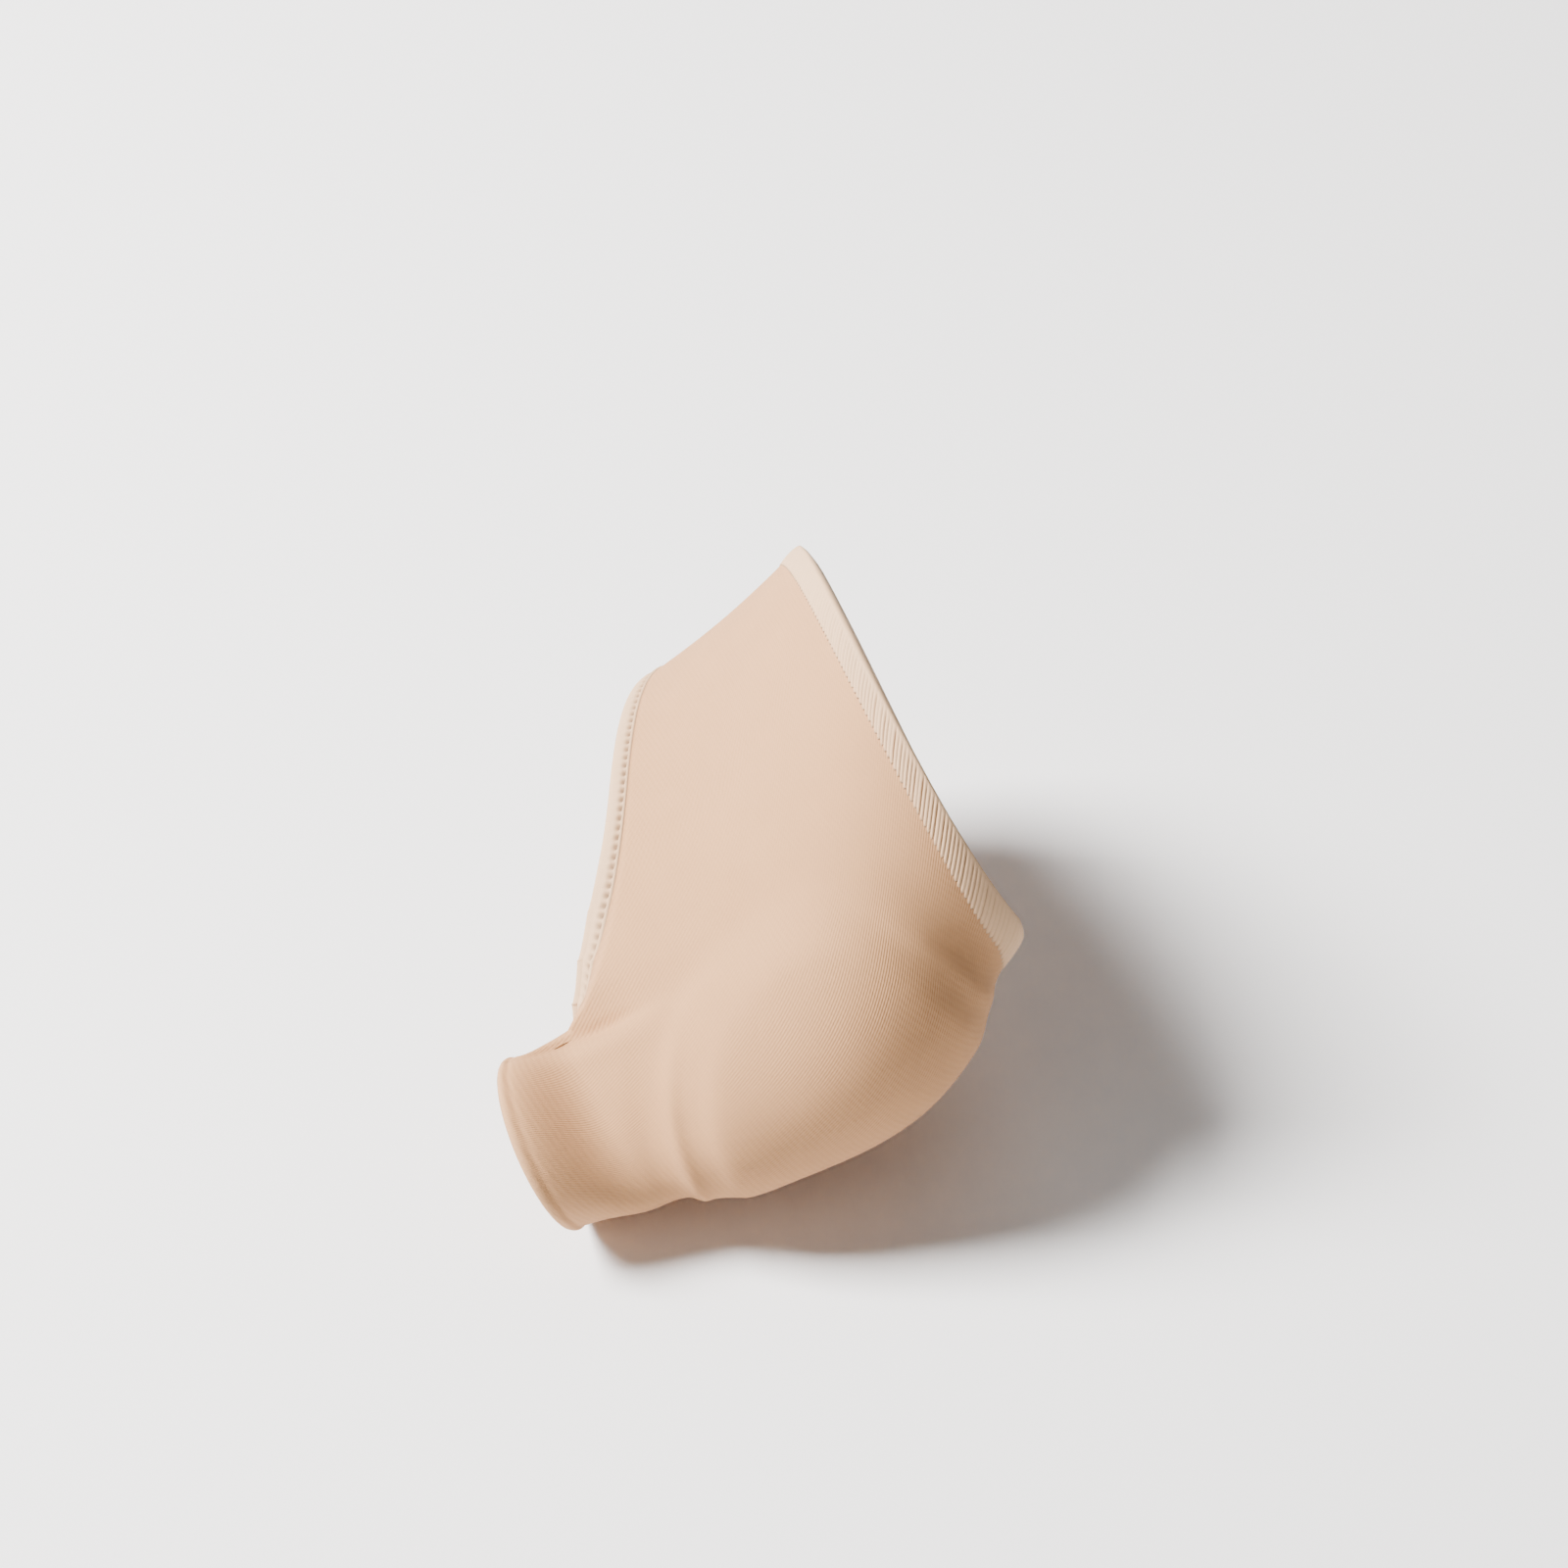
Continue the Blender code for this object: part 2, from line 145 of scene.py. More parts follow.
class BunionProtectorSettings(bpy.types.PropertyGroup):
    """Sizes, counts and colours of the bunion protector."""

    ball_width: FloatProperty(name="Ball width", description="Width across the ball of the foot",
                              default=0.091, unit="LENGTH")
    ball_height: FloatProperty(name="Ball height", description="Height over the big-toe joint",
                               default=0.038, unit="LENGTH")
    sleeve_length: FloatProperty(name="Sleeve length", description="Fork of the toes to the rear edge",
                                 default=0.0655, unit="LENGTH")
    wall: FloatProperty(name="Wall", description="Thickness of the knit", default=0.0013, unit="LENGTH")
    rear_hem: FloatProperty(name="Rear hem", description="Width of the rear hem",
                            default=0.0043, unit="LENGTH")
    toe_hem: FloatProperty(name="Toe hem", description="Width of the hem round the four-toe opening",
                           default=0.0033, unit="LENGTH")
    hem_thickness: FloatProperty(name="Hem thickness", description="Thickness of both hems",
                                 default=0.0018, unit="LENGTH")
    loop_width: FloatProperty(name="Loop width", description="Width of the big-toe loop",
                              default=0.0264, unit="LENGTH")
    loop_height: FloatProperty(name="Loop height", description="Height of the big-toe loop",
                               default=0.0242, unit="LENGTH")
    loop_reach: FloatProperty(name="Loop reach", description="Root of the toe tube to its edge",
                              default=0.0106, unit="LENGTH")
    pad_length: FloatProperty(name="Cushion length", description="Length of the gel cushion",
                              default=0.0455, unit="LENGTH")
    pad_thickness: FloatProperty(name="Cushion thickness", description="Thickness at its middle",
                                 default=0.0044, unit="LENGTH")
    pad_swell: FloatProperty(name="Swell", description="How far the cushion lifts the knit",
                             default=0.0026, unit="LENGTH")
    crease: FloatProperty(name="Crease", description="Depth of the fold behind the fork",
                          default=0.0017, unit="LENGTH")
    stitch_pitch: FloatProperty(name="Stitch pitch", description="Distance between toe-hem stitches",
                                default=0.00165, unit="LENGTH")
    thread_pitch: FloatProperty(name="Thread pitch", description="Distance between rear-hem threads",
                                default=0.00095, unit="LENGTH")
    rib_pitch: FloatProperty(name="Rib pitch", description="Distance between the knit's fine ribs",
                             default=0.00052, unit="LENGTH")
    knit_colour: FloatVectorProperty(name="Knit", description="Colour of the knit", subtype="COLOR",
                                     size=3, default=(0.495, 0.258, 0.118), min=0.0, max=1.0)
    hem_colour: FloatVectorProperty(name="Hem", description="Colour of the hem threads", subtype="COLOR",
                                    size=3, default=(0.620, 0.400, 0.235), min=0.0, max=1.0)
    gel_colour: FloatVectorProperty(name="Gel", description="Colour of the gel cushion", subtype="COLOR",
                                    size=3, default=(0.86, 0.78, 0.66), min=0.0, max=1.0)
    floor_colour: FloatVectorProperty(name="Floor", description="Colour of the floor", subtype="COLOR",
                                      size=3, default=(0.93, 0.92, 0.93), min=0.0, max=1.0)
    fineness: IntProperty(name="Fineness", description="Steps of the finest grid, in percent",
                          default=100, min=20, max=200)


def smooth(share):
    """Slow-fast-slow step from 0 to 1."""
    share = np.clip(share, 0.0, 1.0)
    return share * share * (3.0 - 2.0 * share)


def unit(vectors):
    return vectors / np.linalg.norm(vectors, axis=-1, keepdims=True)


def hump(value, centre, width):
    """A soft bump of height 1."""
    return np.exp(-((value - centre) / width) ** 2)


def bulge(value, squareness):
    return np.sign(value) * np.abs(value) ** (2.0 / squareness)


def column(name):
    return np.array(SECTIONS, float)[:, SECTION_COLUMNS.index(name)]


def through(values, at):
    """Cubic curve through a table column, read at shares of the sleeve's length."""
    knots = column("along")
    at = np.clip(np.asarray(at, float), knots[0], knots[-1])
    slopes = np.gradient(values, knots)
    left = np.clip(np.searchsorted(knots, at, side="right") - 1, 0, len(knots) - 2)
    step = knots[left + 1] - knots[left]
    t = (at - knots[left]) / step
    start = (2 * t**3 - 3 * t**2 + 1) * values[left] + (t**3 - 2 * t**2 + t) * step * slopes[left]
    end = (3 * t**2 - 2 * t**3) * values[left + 1] + (t**3 - t**2) * step * slopes[left + 1]
    return start + end


class Form:
    """The foot form and the sleeve's surfaces over it, from the settings."""

    def __init__(self, settings):
        self.s = settings
        fine = np.linspace(SECTIONS[0][0], SECTIONS[-1][0], 301)
        pitch = np.radians(through(column("pitch"), fine))
        step = np.diff(fine) * settings.sleeve_length
        forward = np.cumsum(0.5 * (np.cos(pitch[1:]) + np.cos(pitch[:-1])) * step)
        rise = np.cumsum(0.5 * (np.sin(pitch[1:]) + np.sin(pitch[:-1])) * step)
        self.fine = fine
        self.forward = np.concatenate(((0.0,), forward))
        self.rise = np.concatenate(((0.0,), rise))
        self.forward -= np.interp(ORIGIN_SHARE, fine, self.forward)
        self.rise -= np.interp(ORIGIN_SHARE, fine, self.rise)

    def last(self, angle, share):
        """A squared oval, across the foot by cos(angle) and up by sin(angle), both raised to a power,
        stood square across a spine that rises by the running sum of the pitch."""
        s = self.s
        angle = np.radians(angle)
        pitch = np.radians(through(column("pitch"), share))
        across = bulge(np.cos(angle), ACROSS)
        blend = (across + 1.0) / 2.0
        top = through(column("top_inner"), share) * (1 - blend) + through(column("top_outer"), share) * blend
        sole = through(column("sole_inner"), share) * (1 - blend)
        sole = sole + through(column("sole_outer"), share) * blend
        over = top * np.abs(np.sin(angle)) ** (2.0 / OVER)
        under = -sole * np.abs(np.sin(angle)) ** (2.0 / UNDER)
        height = np.where(np.sin(angle) > 0, over, under) * s.ball_height
        aside = through(column("side"), share) + across * through(column("half"), share)
        x = np.interp(share, self.fine, self.forward) - np.sin(pitch) * height
        z = np.interp(share, self.fine, self.rise) + np.cos(pitch) * height
        return np.stack((x, aside * s.ball_width, z), -1)

    def outward(self, angle, share):
        """Cross product of the last's two slopes, round and along."""
        round_it = self.last(angle + 0.3, share) - self.last(angle - 0.3, share)
        along_it = self.last(angle, share + 0.005) - self.last(angle, share - 0.005)
        return unit(np.cross(round_it, along_it))

    def pad_radius(self, angle, share):
        """0 at the middle of the cushion and 1 on its squared oval outline."""
        p = (share - PAD_SHARE) * self.s.sleeve_length / (self.s.pad_length / 2.0)
        q = (np.mod(angle, 360.0) - PAD_ANGLE) / PAD_HALF_ANGLE
        return (np.abs(p) ** PAD_SQUARENESS + np.abs(q) ** PAD_SQUARENESS) ** (1.0 / PAD_SQUARENESS)

    def lift(self, angle, share):
        """Height of the knit off the last: a dish over the cushion, with a raised rim between two
        hollows at its front and its rear, less a fold with a sharp line behind the top of the fork
        and a shallow fold under the sole."""
        turn = np.mod(angle, 360.0)
        radius = self.pad_radius(angle, share)
        up = self.s.pad_swell * smooth((SWELL_EDGE - radius) / SWELL_FADE)
        front = smooth((PAD_SHARE - share) / 0.12)
        front = front * smooth((215.0 - turn) / 40.0) * smooth((turn - 112.0) / 40.0)
        rear = smooth((share - PAD_SHARE) / 0.12)
        rear = rear * smooth((215.0 - turn) / 30.0) * smooth((turn - 130.0) / 30.0)
        rim = self.rim(radius, front, FRONT_RIM) + self.rim(radius, rear, REAR_RIM)
        behind = np.maximum(share - FORK_SHARE, 0.0)
        fold = hump(turn, FORK_TOP + 1.0 + 18.0 * behind, 5.0) * hump(share, FORK_SHARE, 0.20)
        valley = FORK_TOP + 3.0 + 20.0 * behind
        sharp = SHARP_DEPTH * hump(turn, valley, 1.6) - SHARP_LIP * hump(turn, valley + 6.0, 3.0)
        sharp = sharp * hump(share, 0.10, 0.09)
        sole = SOLE_FOLD * hump(turn, FORK_SOLE, 7.0) * hump(share, FORK_SHARE, 0.2)
        return up + rim - self.s.crease * fold - sharp - sole

    def rim(self, radius, strength, rows):
        """The sum of a few humps, each a height, a radius and a width."""
        return sum(height * strength * hump(radius, centre, width) for height, centre, width in rows)

    def skin(self, angle, share, depth=0.0):
        """The last moved outward by the lift, less a depth."""
        angle, share = np.broadcast_arrays(np.asarray(angle, float), np.asarray(share, float))
        offset = self.lift(angle, share) - depth
        return self.last(angle, share) + self.outward(angle, share) * offset[..., None]

    def front_edge(self, angle):
        """Front of the sleeve: at the fork on the inner side, swept back by a power of the distance
        across on the outer side."""
        across = bulge(np.cos(np.radians(angle)), ACROSS)
        fork = bulge(np.cos(np.radians(FORK_TOP)), ACROSS)
        return FORK_SHARE + FRONT_SWEEP * np.clip((across - fork) / (1.0 - fork), 0.0, 1.0) ** FRONT_POWER

    def rear_edge(self, angle):
        """Rear of the sleeve: leans with the sine of the angle, more on top."""
        rise = np.sin(np.radians(angle))
        return 1.0 + REAR_LEAN * rise + REAR_PEAK * np.maximum(rise, 0.0) ** 2

    def toe_frame(self):
        turn = math.radians(TOE_TURN)
        dip = math.radians(TOE_DIP)
        ahead = np.array((-math.cos(turn) * math.cos(dip), math.sin(turn) * math.cos(dip), -math.sin(dip)))
        side = np.array((math.sin(turn), math.cos(turn), 0.0))
        return ahead, side, np.cross(side, ahead)

    def fork_line(self, steps):
        """Straight from the sole to the top of the fork, bowed back as a parabola."""
        ends = self.skin(np.array((FORK_SOLE, FORK_TOP)), FORK_SHARE)
        share = np.linspace(0.0, 1.0, steps + 1)[:, None]
        line = ends[0] * (1.0 - share) + ends[1] * share
        line[:, 0] += FORK_BOW * self.s.sleeve_length * (4.0 * share * (1.0 - share))[:, 0]
        return line

    def toe_rows(self, inner_steps, fork_steps, rows):
        """Cubic sweep from the root ring on the sleeve to the oval edge of the loop."""
        s = self.s
        ahead, side, up = self.toe_frame()
        angles = np.linspace(FORK_TOP, FORK_SOLE, inner_steps + 1)
        root = np.concatenate((self.skin(angles, FORK_SHARE), self.fork_line(fork_steps)[1:-1]))
        leave = unit(self.skin(angles, FORK_SHARE - 0.01) - self.skin(angles, FORK_SHARE + 0.01))
        leave = np.concatenate((leave, np.tile(unit(ahead - side * TUBE_SPREAD), (fork_steps - 1, 1))))
        inner = np.linspace(180.0 - TOE_SPAN, 180.0 + TOE_SPAN, inner_steps + 1)
        outer = np.linspace(180.0 + TOE_SPAN, 540.0 - TOE_SPAN, fork_steps + 1)[1:-1]
        turn = np.radians(np.concatenate((inner, outer)))[:, None]
        even = self.toe_rows_centre(ahead, side, up)
        loop = even + np.cos(turn) * side * s.loop_width / 2.0 + np.sin(turn) * up * s.loop_height / 2.0
        reach = np.linalg.norm(loop - root, axis=1, keepdims=True)
        v = np.linspace(0.0, 1.0, rows + 1)[:, None, None]
        start = (2 * v**3 - 3 * v**2 + 1) * root + (v**3 - 2 * v**2 + v) * reach * leave
        end = (3 * v**2 - 2 * v**3) * loop + (v**3 - v**2) * reach * ahead
        return start + end

    def toe_rows_centre(self, ahead, side, up):
        """Centre of the loop, ahead of the mean of the root's evenly stepped points."""
        angles = np.linspace(FORK_TOP, FORK_SOLE, 21)
        root = np.concatenate((self.skin(angles, FORK_SHARE), self.fork_line(CORNER_FORK)[1:-1]))
        shift = side * TOE_SHIFT[0] * self.s.loop_width + up * TOE_SHIFT[1] * self.s.loop_height
        return root.mean(axis=0) + ahead * self.s.loop_reach + shift

    def four_toe_rows(self, outer_steps, fork_steps, ahead_by):
        """The four-toe edge moved straight ahead, with its corners eased."""
        ahead, side, _ = self.toe_frame()
        angles = np.linspace(FORK_SOLE, FORK_TOP + 360.0, outer_steps + 1)
        edge = self.front_edge(angles)
        leave = unit(self.skin(angles, edge - 0.01) - self.skin(angles, edge + 0.01))
        root = np.concatenate((self.skin(angles, edge), self.fork_line(fork_steps)[::-1][1:-1]))
        lip = unit(ahead + side * FORK_SPREAD)
        leave = np.concatenate((leave, np.tile(lip, (fork_steps - 1, 1))))
        place = np.arange(len(leave))
        outer_step = outer_steps / CORNER_OUTER
        fork_step = fork_steps / CORNER_FORK
        to_top = np.abs(place - outer_steps) / np.where(place < outer_steps, outer_step, fork_step)
        back = len(leave) - place
        to_sole = np.minimum(place / outer_step, back / fork_step)
        weight = smooth(1.0 - np.minimum(to_top, to_sole) / 4.5)[:, None] * 0.7
        leave = unit(leave * (1.0 - weight) + lip * weight)
        reach = max(2, round(outer_step))
        return np.stack([self.relax(root + leave * d, weight, d, reach) for d in ahead_by])

    def relax(self, row, weight, distance, reach):
        """Eases a closed row's corners by repeated averaging with its neighbours."""
        share = min(1.0, max(0.0, distance) / self.s.toe_hem)
        for _ in range(4):
            middle = 0.5 * (np.roll(row, reach, axis=0) + np.roll(row, -reach, axis=0))
            row = row + (middle - row) * weight * share
        return row


def collection():
    group = bpy.data.collections.get(COLLECTION)
    if group is None:
        group = bpy.data.collections.new(COLLECTION)
        bpy.context.scene.collection.children.link(group)
    return group


def grid_faces(lower, upper):
    """Quads between two closed rows of vertex numbers, as an array."""
    lower = np.asarray(lower)
    upper = np.asarray(upper)
    return np.stack((lower, np.roll(lower, -1), np.roll(upper, -1), upper), -1)


def add_mesh(name, verts, faces, material, attributes=()):
    """A smooth-shaded object at the origin, with named numbers stored on its vertices."""
    mesh = bpy.data.meshes.new(name)
    mesh.from_pydata(verts.tolist(), [], faces if isinstance(faces, list) else faces.tolist())
    for label, values in attributes:
        layer = mesh.attributes.new(label, "FLOAT", "POINT")
        layer.data.foreach_set("value", np.asarray(values, np.float32).ravel())
    mesh.polygons.foreach_set("use_smooth", np.ones(len(mesh.polygons), bool))
    mesh.materials.append(material)
    mesh.update()
    thing = bpy.data.objects.new(name, mesh)
    collection().objects.link(thing)
    return thing


def add_band(name, outer, inner, gap_shade, material, turned):
    """A closed ring of cloth: its outer rows, then its inner rows back to the first; the outer rows carry
    the painted gap shade mask and the inner rows none.
    """
    rows = np.concatenate((outer, inner))
    values = np.concatenate((gap_shade, np.zeros(inner.shape[:2])))
    numbers = np.arange(rows.shape[0] * rows.shape[1]).reshape(rows.shape[:2])
    pairs = zip(numbers, np.roll(numbers, -1, axis=0))
    faces = np.concatenate([grid_faces(hi, lo) if turned else grid_faces(lo, hi) for lo, hi in pairs])
    return add_mesh(name, rows.reshape(-1, 3), faces, material, (("gap_shade", values),))


def thicken(thing, thickness):
    """Adds the wall on the inner side of the surface."""
    solid = thing.modifiers.new("thickness", "SOLIDIFY")
    solid.thickness = thickness
    solid.offset = -1.0
    solid.use_even_offset = False


class Wire:
    """A shader socket that can be added, multiplied and so on with numbers and other sockets."""

    def __init__(self, tree, socket):
        self.tree = tree
        self.socket = socket

    def maths(self, operation, first, second=None):
        """Adds a Math node on one or two numbers or wires."""
        node = self.tree.nodes.new("ShaderNodeMath")
        node.operation = operation
        for slot, value in zip(node.inputs, (first, second)):
            if isinstance(value, Wire):
                self.tree.links.new(value.socket, slot)
            elif value is not None:
                slot.default_value = value
        return Wire(self.tree, node.outputs[0])

    def __add__(self, other):
        return self.maths("ADD", self, other)

    def __radd__(self, other):
        return self.maths("ADD", other, self)

    def __sub__(self, other):
        return self.maths("SUBTRACT", self, other)

    def __rsub__(self, other):
        return self.maths("SUBTRACT", other, self)

    def __mul__(self, other):
        return self.maths("MULTIPLY", self, other)

    def __rmul__(self, other):
        return self.maths("MULTIPLY", other, self)

    def sine(self):
        return self.maths("SINE", self)

    def clamp(self):
        return self.maths("MINIMUM", self.maths("MAXIMUM", self, 0.0), 1.0)


class Look:
    """A material being wired up."""

    def __init__(self, name, colour, roughness):
        self.material = bpy.data.materials.new(name)
        self.material.use_nodes = True
        self.tree = self.material.node_tree
        self.shader = self.tree.nodes["Principled BSDF"]
        self.shader.inputs["Base Color"].default_value = (*colour, 1.0)
        self.shader.inputs["Roughness"].default_value = roughness

    def node(self, kind, settings=None, values=None, output=0):
        """Any node: its settings, its inputs as numbers or wires, and the output wanted."""
        node = self.tree.nodes.new(kind)
        for key, value in (settings or {}).items():
            setattr(node, key, value)
        for key, value in (values or {}).items():
            if isinstance(value, Wire):
                self.tree.links.new(value.socket, node.inputs[key])
            else:
                node.inputs[key].default_value = value
        return Wire(self.tree, node.outputs[output])

    def number(self, label):
        return self.node("ShaderNodeAttribute", {"attribute_name": label}, output="Fac")

    def noise(self, scale, detail=3.0):
        place = self.node("ShaderNodeTexCoord", output="Object")
        return self.node("ShaderNodeTexNoise", None, {"Vector": place, "Scale": scale, "Detail": detail})

    def mix(self, share, first, second):
        """Blends two colours; inputs 0, 6 and 7 are the node's factor and its two colours."""
        first = first if isinstance(first, Wire) else (*first, 1.0)
        second = second if isinstance(second, Wire) else (*second, 1.0)
        return self.node("ShaderNodeMix", {"data_type": "RGBA"}, {0: share, 6: first, 7: second}, output=2)

    def colour(self, wire):
        self.tree.links.new(wire.socket, self.shader.inputs["Base Color"])

    def bump(self, height, distance, strength=1.0):
        wire = self.node("ShaderNodeBump", None,
                         {"Height": height, "Distance": distance, "Strength": strength})
        self.tree.links.new(wire.socket, self.shader.inputs["Normal"])


def knit_look(settings):
    """Fine slanting ribs crossed by rows of loops, both faint, with soft cloudy patches, and a painted
    highlight along the rolled edge of the toe tube.
    """
    base = np.array(settings.knit_colour)
    look = Look("knit", tuple(base), 0.82)
    look.shader.inputs["Sheen Weight"].default_value = 0.05
    look.shader.inputs["Sheen Roughness"].default_value = 0.5
    look.shader.inputs["Specular IOR Level"].default_value = 0.25
    turn = 2.0 * math.pi / settings.rib_pitch
    round_it = look.number("around")
    along_it = look.number("along")
    rib = ((round_it + along_it * 0.45) * turn).sine()
    loop = ((along_it - round_it * 0.12) * (turn * 0.62)).sine()
    cloud = look.noise(140.0)
    speck = look.noise(2600.0, 2.0)
    shade = (rib * 0.16 + loop * 0.08 + (cloud - 0.5) * 0.55 + (speck - 0.5) * 0.5 + 0.5).clamp()
    tone = look.mix(shade, tuple(base * 0.90), tuple(np.minimum(base * 1.08, 1.0)))
    # Painted highlight: a paler, less saturated colour on the rolled edge of the toe tube, where the light
    # catches the roll.
    edge_highlight = tuple(np.minimum(base * (1.06, 1.13, 1.22), 1.0))
    look.colour(look.mix((look.number("edge") * 0.8).clamp(), tone, edge_highlight))
    look.bump(rib * 0.5 + loop * 0.3 + speck * 0.5, 0.00006, 0.55)
    return look.material


def hem_look(settings, name, gap_shade_factor):
    """Pale thread, with painted shade darkening the gaps between the threads, the stitch holes and the seam.
    """
    base = np.array(settings.hem_colour)
    look = Look(name, tuple(base), 0.8)
    look.shader.inputs["Sheen Weight"].default_value = 0.05
    look.shader.inputs["Specular IOR Level"].default_value = 0.25
    speck = look.noise(2400.0, 2.0)
    tone = look.mix((speck * 0.6 + 0.2).clamp(), tuple(base * 0.93), tuple(np.minimum(base * 1.04, 1.0)))
    # Painted shade: the thread colour darkened for the gaps, holes and seam groove, where shade falls.
    gap_shade = tuple(base * gap_shade_factor)
    look.colour(look.mix(look.number("gap_shade").clamp(), tone, gap_shade))
    look.bump(speck, 0.00005, 0.5)
    return look.material


def gel_look(settings):
    look = Look("gel", tuple(settings.gel_colour), 0.35)
    look.shader.inputs["Subsurface Weight"].default_value = 0.25
    look.shader.inputs["Subsurface Scale"].default_value = 0.003
    look.shader.inputs["Coat Weight"].default_value = 0.15
    look.bump(look.noise(300.0), 0.0001, 0.3)
    return look.material


def steps(settings, count):
    share = settings.fineness / 100.0 * 1.0
    return max(6, int(round(count * share)))


def length_along(points):
    """Running length of a closed row of points, and the whole length."""
    gaps = np.linalg.norm(np.roll(points, -1, axis=0) - points, axis=1)
    return np.concatenate(((0.0,), np.cumsum(gaps)[:-1])), gaps.sum()


class OBJECT_OT_bunion_sleeve(bpy.types.Operator):
    """Build the knitted sleeve body with its toe tube"""
    bl_idname = "object.bunion_sleeve"
    bl_label = "Knitted sleeve"

    def execute(self, context):
        """Body: angle and share of the length, blended between the front and rear edges.  The toe tube
        and the lip at the fork share the body's front ring."""
        s = context.scene.bunion_protector
        form = Form(s)
        inner = steps(s, 110)
        outer = steps(s, 130)
        fork = steps(s, 34)
        rows = steps(s, 110)
        toe = steps(s, 44)
        a = np.linspace(FORK_TOP, FORK_SOLE, inner + 1)[:-1]
        b = np.linspace(FORK_SOLE, FORK_TOP + 360.0, outer + 1)[:-1]
        angles = np.concatenate((a, b))
        start = form.front_edge(angles)
        end = form.rear_edge(angles) - (s.rear_hem - LAP) / s.sleeve_length
        share = np.linspace(0.0, 1.0, rows + 1)[:, None]
        place = start * (1.0 - share) + end * share
        body = form.skin(angles, place)
        ring = np.arange(len(angles))
        numbers = [ring + len(angles) * i for i in range(rows + 1)]
        faces = [grid_faces(lo, hi) for lo, hi in zip(numbers[:-1], numbers[1:])]
        half_turn = np.mod(angles, 360.0) - 180.0
        around = np.broadcast_to(np.radians(half_turn) * PATTERN_RADIUS, place.shape)
        verts = [body.reshape(-1, 3)]
        wide = [around.ravel()]
        long = [(place * s.sleeve_length).ravel()]
        edge = [np.zeros(place.size)]
        count = place.size
        fork_numbers = np.arange(count, count + fork - 1)
        verts.append(form.fork_line(fork)[1:-1])
        wide.append(np.linspace(*PATTERN_FORK, fork - 1))
        long.append(np.full(fork - 1, FORK_SHARE * s.sleeve_length))
        edge.append(np.zeros(fork - 1))
        count += fork - 1
        lower = np.concatenate((numbers[0][:inner + 1], fork_numbers))
        ring_wide = np.concatenate((around[0][:inner + 1], wide[-1]))
        tube = self.roll_edge(form.toe_rows(inner, fork, toe))
        for i, row in enumerate(tube[1:], 1):
            upper = np.arange(count, count + len(row))
            verts.append(row)
            faces.append(grid_faces(upper, lower))
            wide.append(ring_wide)
            long.append(np.full(len(row), FORK_SHARE * s.sleeve_length - i / toe * s.loop_reach))
            # The edge value masks the painted highlight on the last rows of the toe tube.
            edge.append(np.full(len(row), smooth((i / toe - 0.90) / 0.08)))
            count += len(row)
            lower = upper
        four = np.concatenate((numbers[0][inner:], numbers[0][:1], fork_numbers[::-1]))
        lip = form.four_toe_rows(outer, fork, (LIP,))[0]
        upper = np.arange(count, count + len(lip))
        verts.append(lip)
        faces.append(grid_faces(upper, four))
        wide.append(np.concatenate((around[0][inner:], around[0][:1], wide[1][::-1])))
        lip_share = np.concatenate((place[0][inner:], place[0][:1], np.full(fork - 1, FORK_SHARE)))
        long.append(lip_share * s.sleeve_length - LIP)
        edge.append(np.zeros(len(lip)))
        attributes = (("around", np.concatenate(wide)), ("along", np.concatenate(long)),
                      ("edge", np.concatenate(edge)))
        verts = np.concatenate(verts)
        thing = add_mesh("knit_sleeve", verts, np.concatenate(faces), knit_look(s), attributes)
        thicken(thing, s.wall)
        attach(thing, "root")
        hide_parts("sleeve_shell")
        return {"FINISHED"}

    def roll_edge(self, tube):
        """The last stretch of the tube swells outward by a half wave and turns in at the edge."""
        rows = len(tube) - 1
        v = np.linspace(0.0, 1.0, rows + 1)
        centre = tube.mean(axis=1, keepdims=True)
        swell = 0.00022 * np.sin(np.pi * np.clip((v - 0.88) / 0.12, 0.0, 1.0))
        swell = swell - 0.0001 * smooth((v - 0.97) / 0.03)
        pinch = -0.00010 * hump(v, 0.87, 0.03)
        return tube + unit(tube - centre) * (swell + pinch)[:, None, None]


